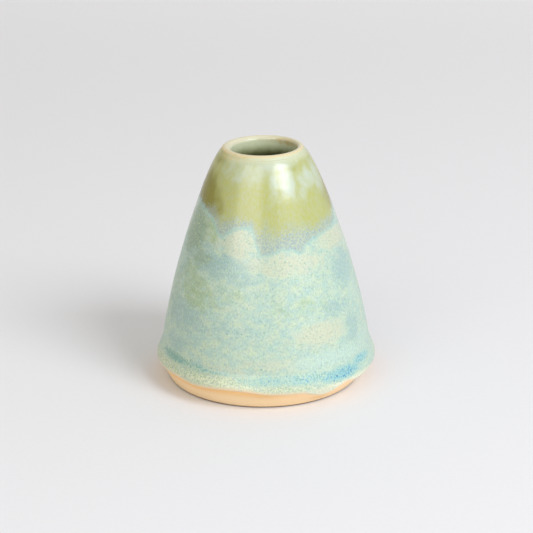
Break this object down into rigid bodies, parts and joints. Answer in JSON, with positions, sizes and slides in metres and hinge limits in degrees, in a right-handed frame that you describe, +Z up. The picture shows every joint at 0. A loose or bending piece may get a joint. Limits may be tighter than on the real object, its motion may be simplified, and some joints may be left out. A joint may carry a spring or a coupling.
{
  "type": "bud vase",
  "caption": "Small conical ceramic bud vase with a narrow round mouth, a rounded bead above a bare clay foot, and layered green and turquoise glazes.",
  "frame": {"origin": "centre of the foot's resting plane, on the vase's axis", "axes": "+Z up along the vase's axis towards the mouth, -Y towards the side shown in the picture, +X to that side's right"},
  "size_m": [0.0836, 0.0836, 0.09],
  "materials": {
    "bare_stoneware": "matte unglazed buff stoneware, turned smooth",
    "liner_glaze": "glossy celadon green liner",
    "turquoise_glaze": "satin gloss, speckled turquoise and pale green, blue where it pools",
    "olive_glaze": "glossy olive to yellow-green, blue at its lower edge, cream where it breaks near the lip"
  },
  "bodies": {
    "root": {"clay_body": "bare_stoneware", "liner_glaze": "liner_glaze", "base_glaze": "turquoise_glaze", "shoulder_glaze": "olive_glaze"}
  },
  "joints": []
}
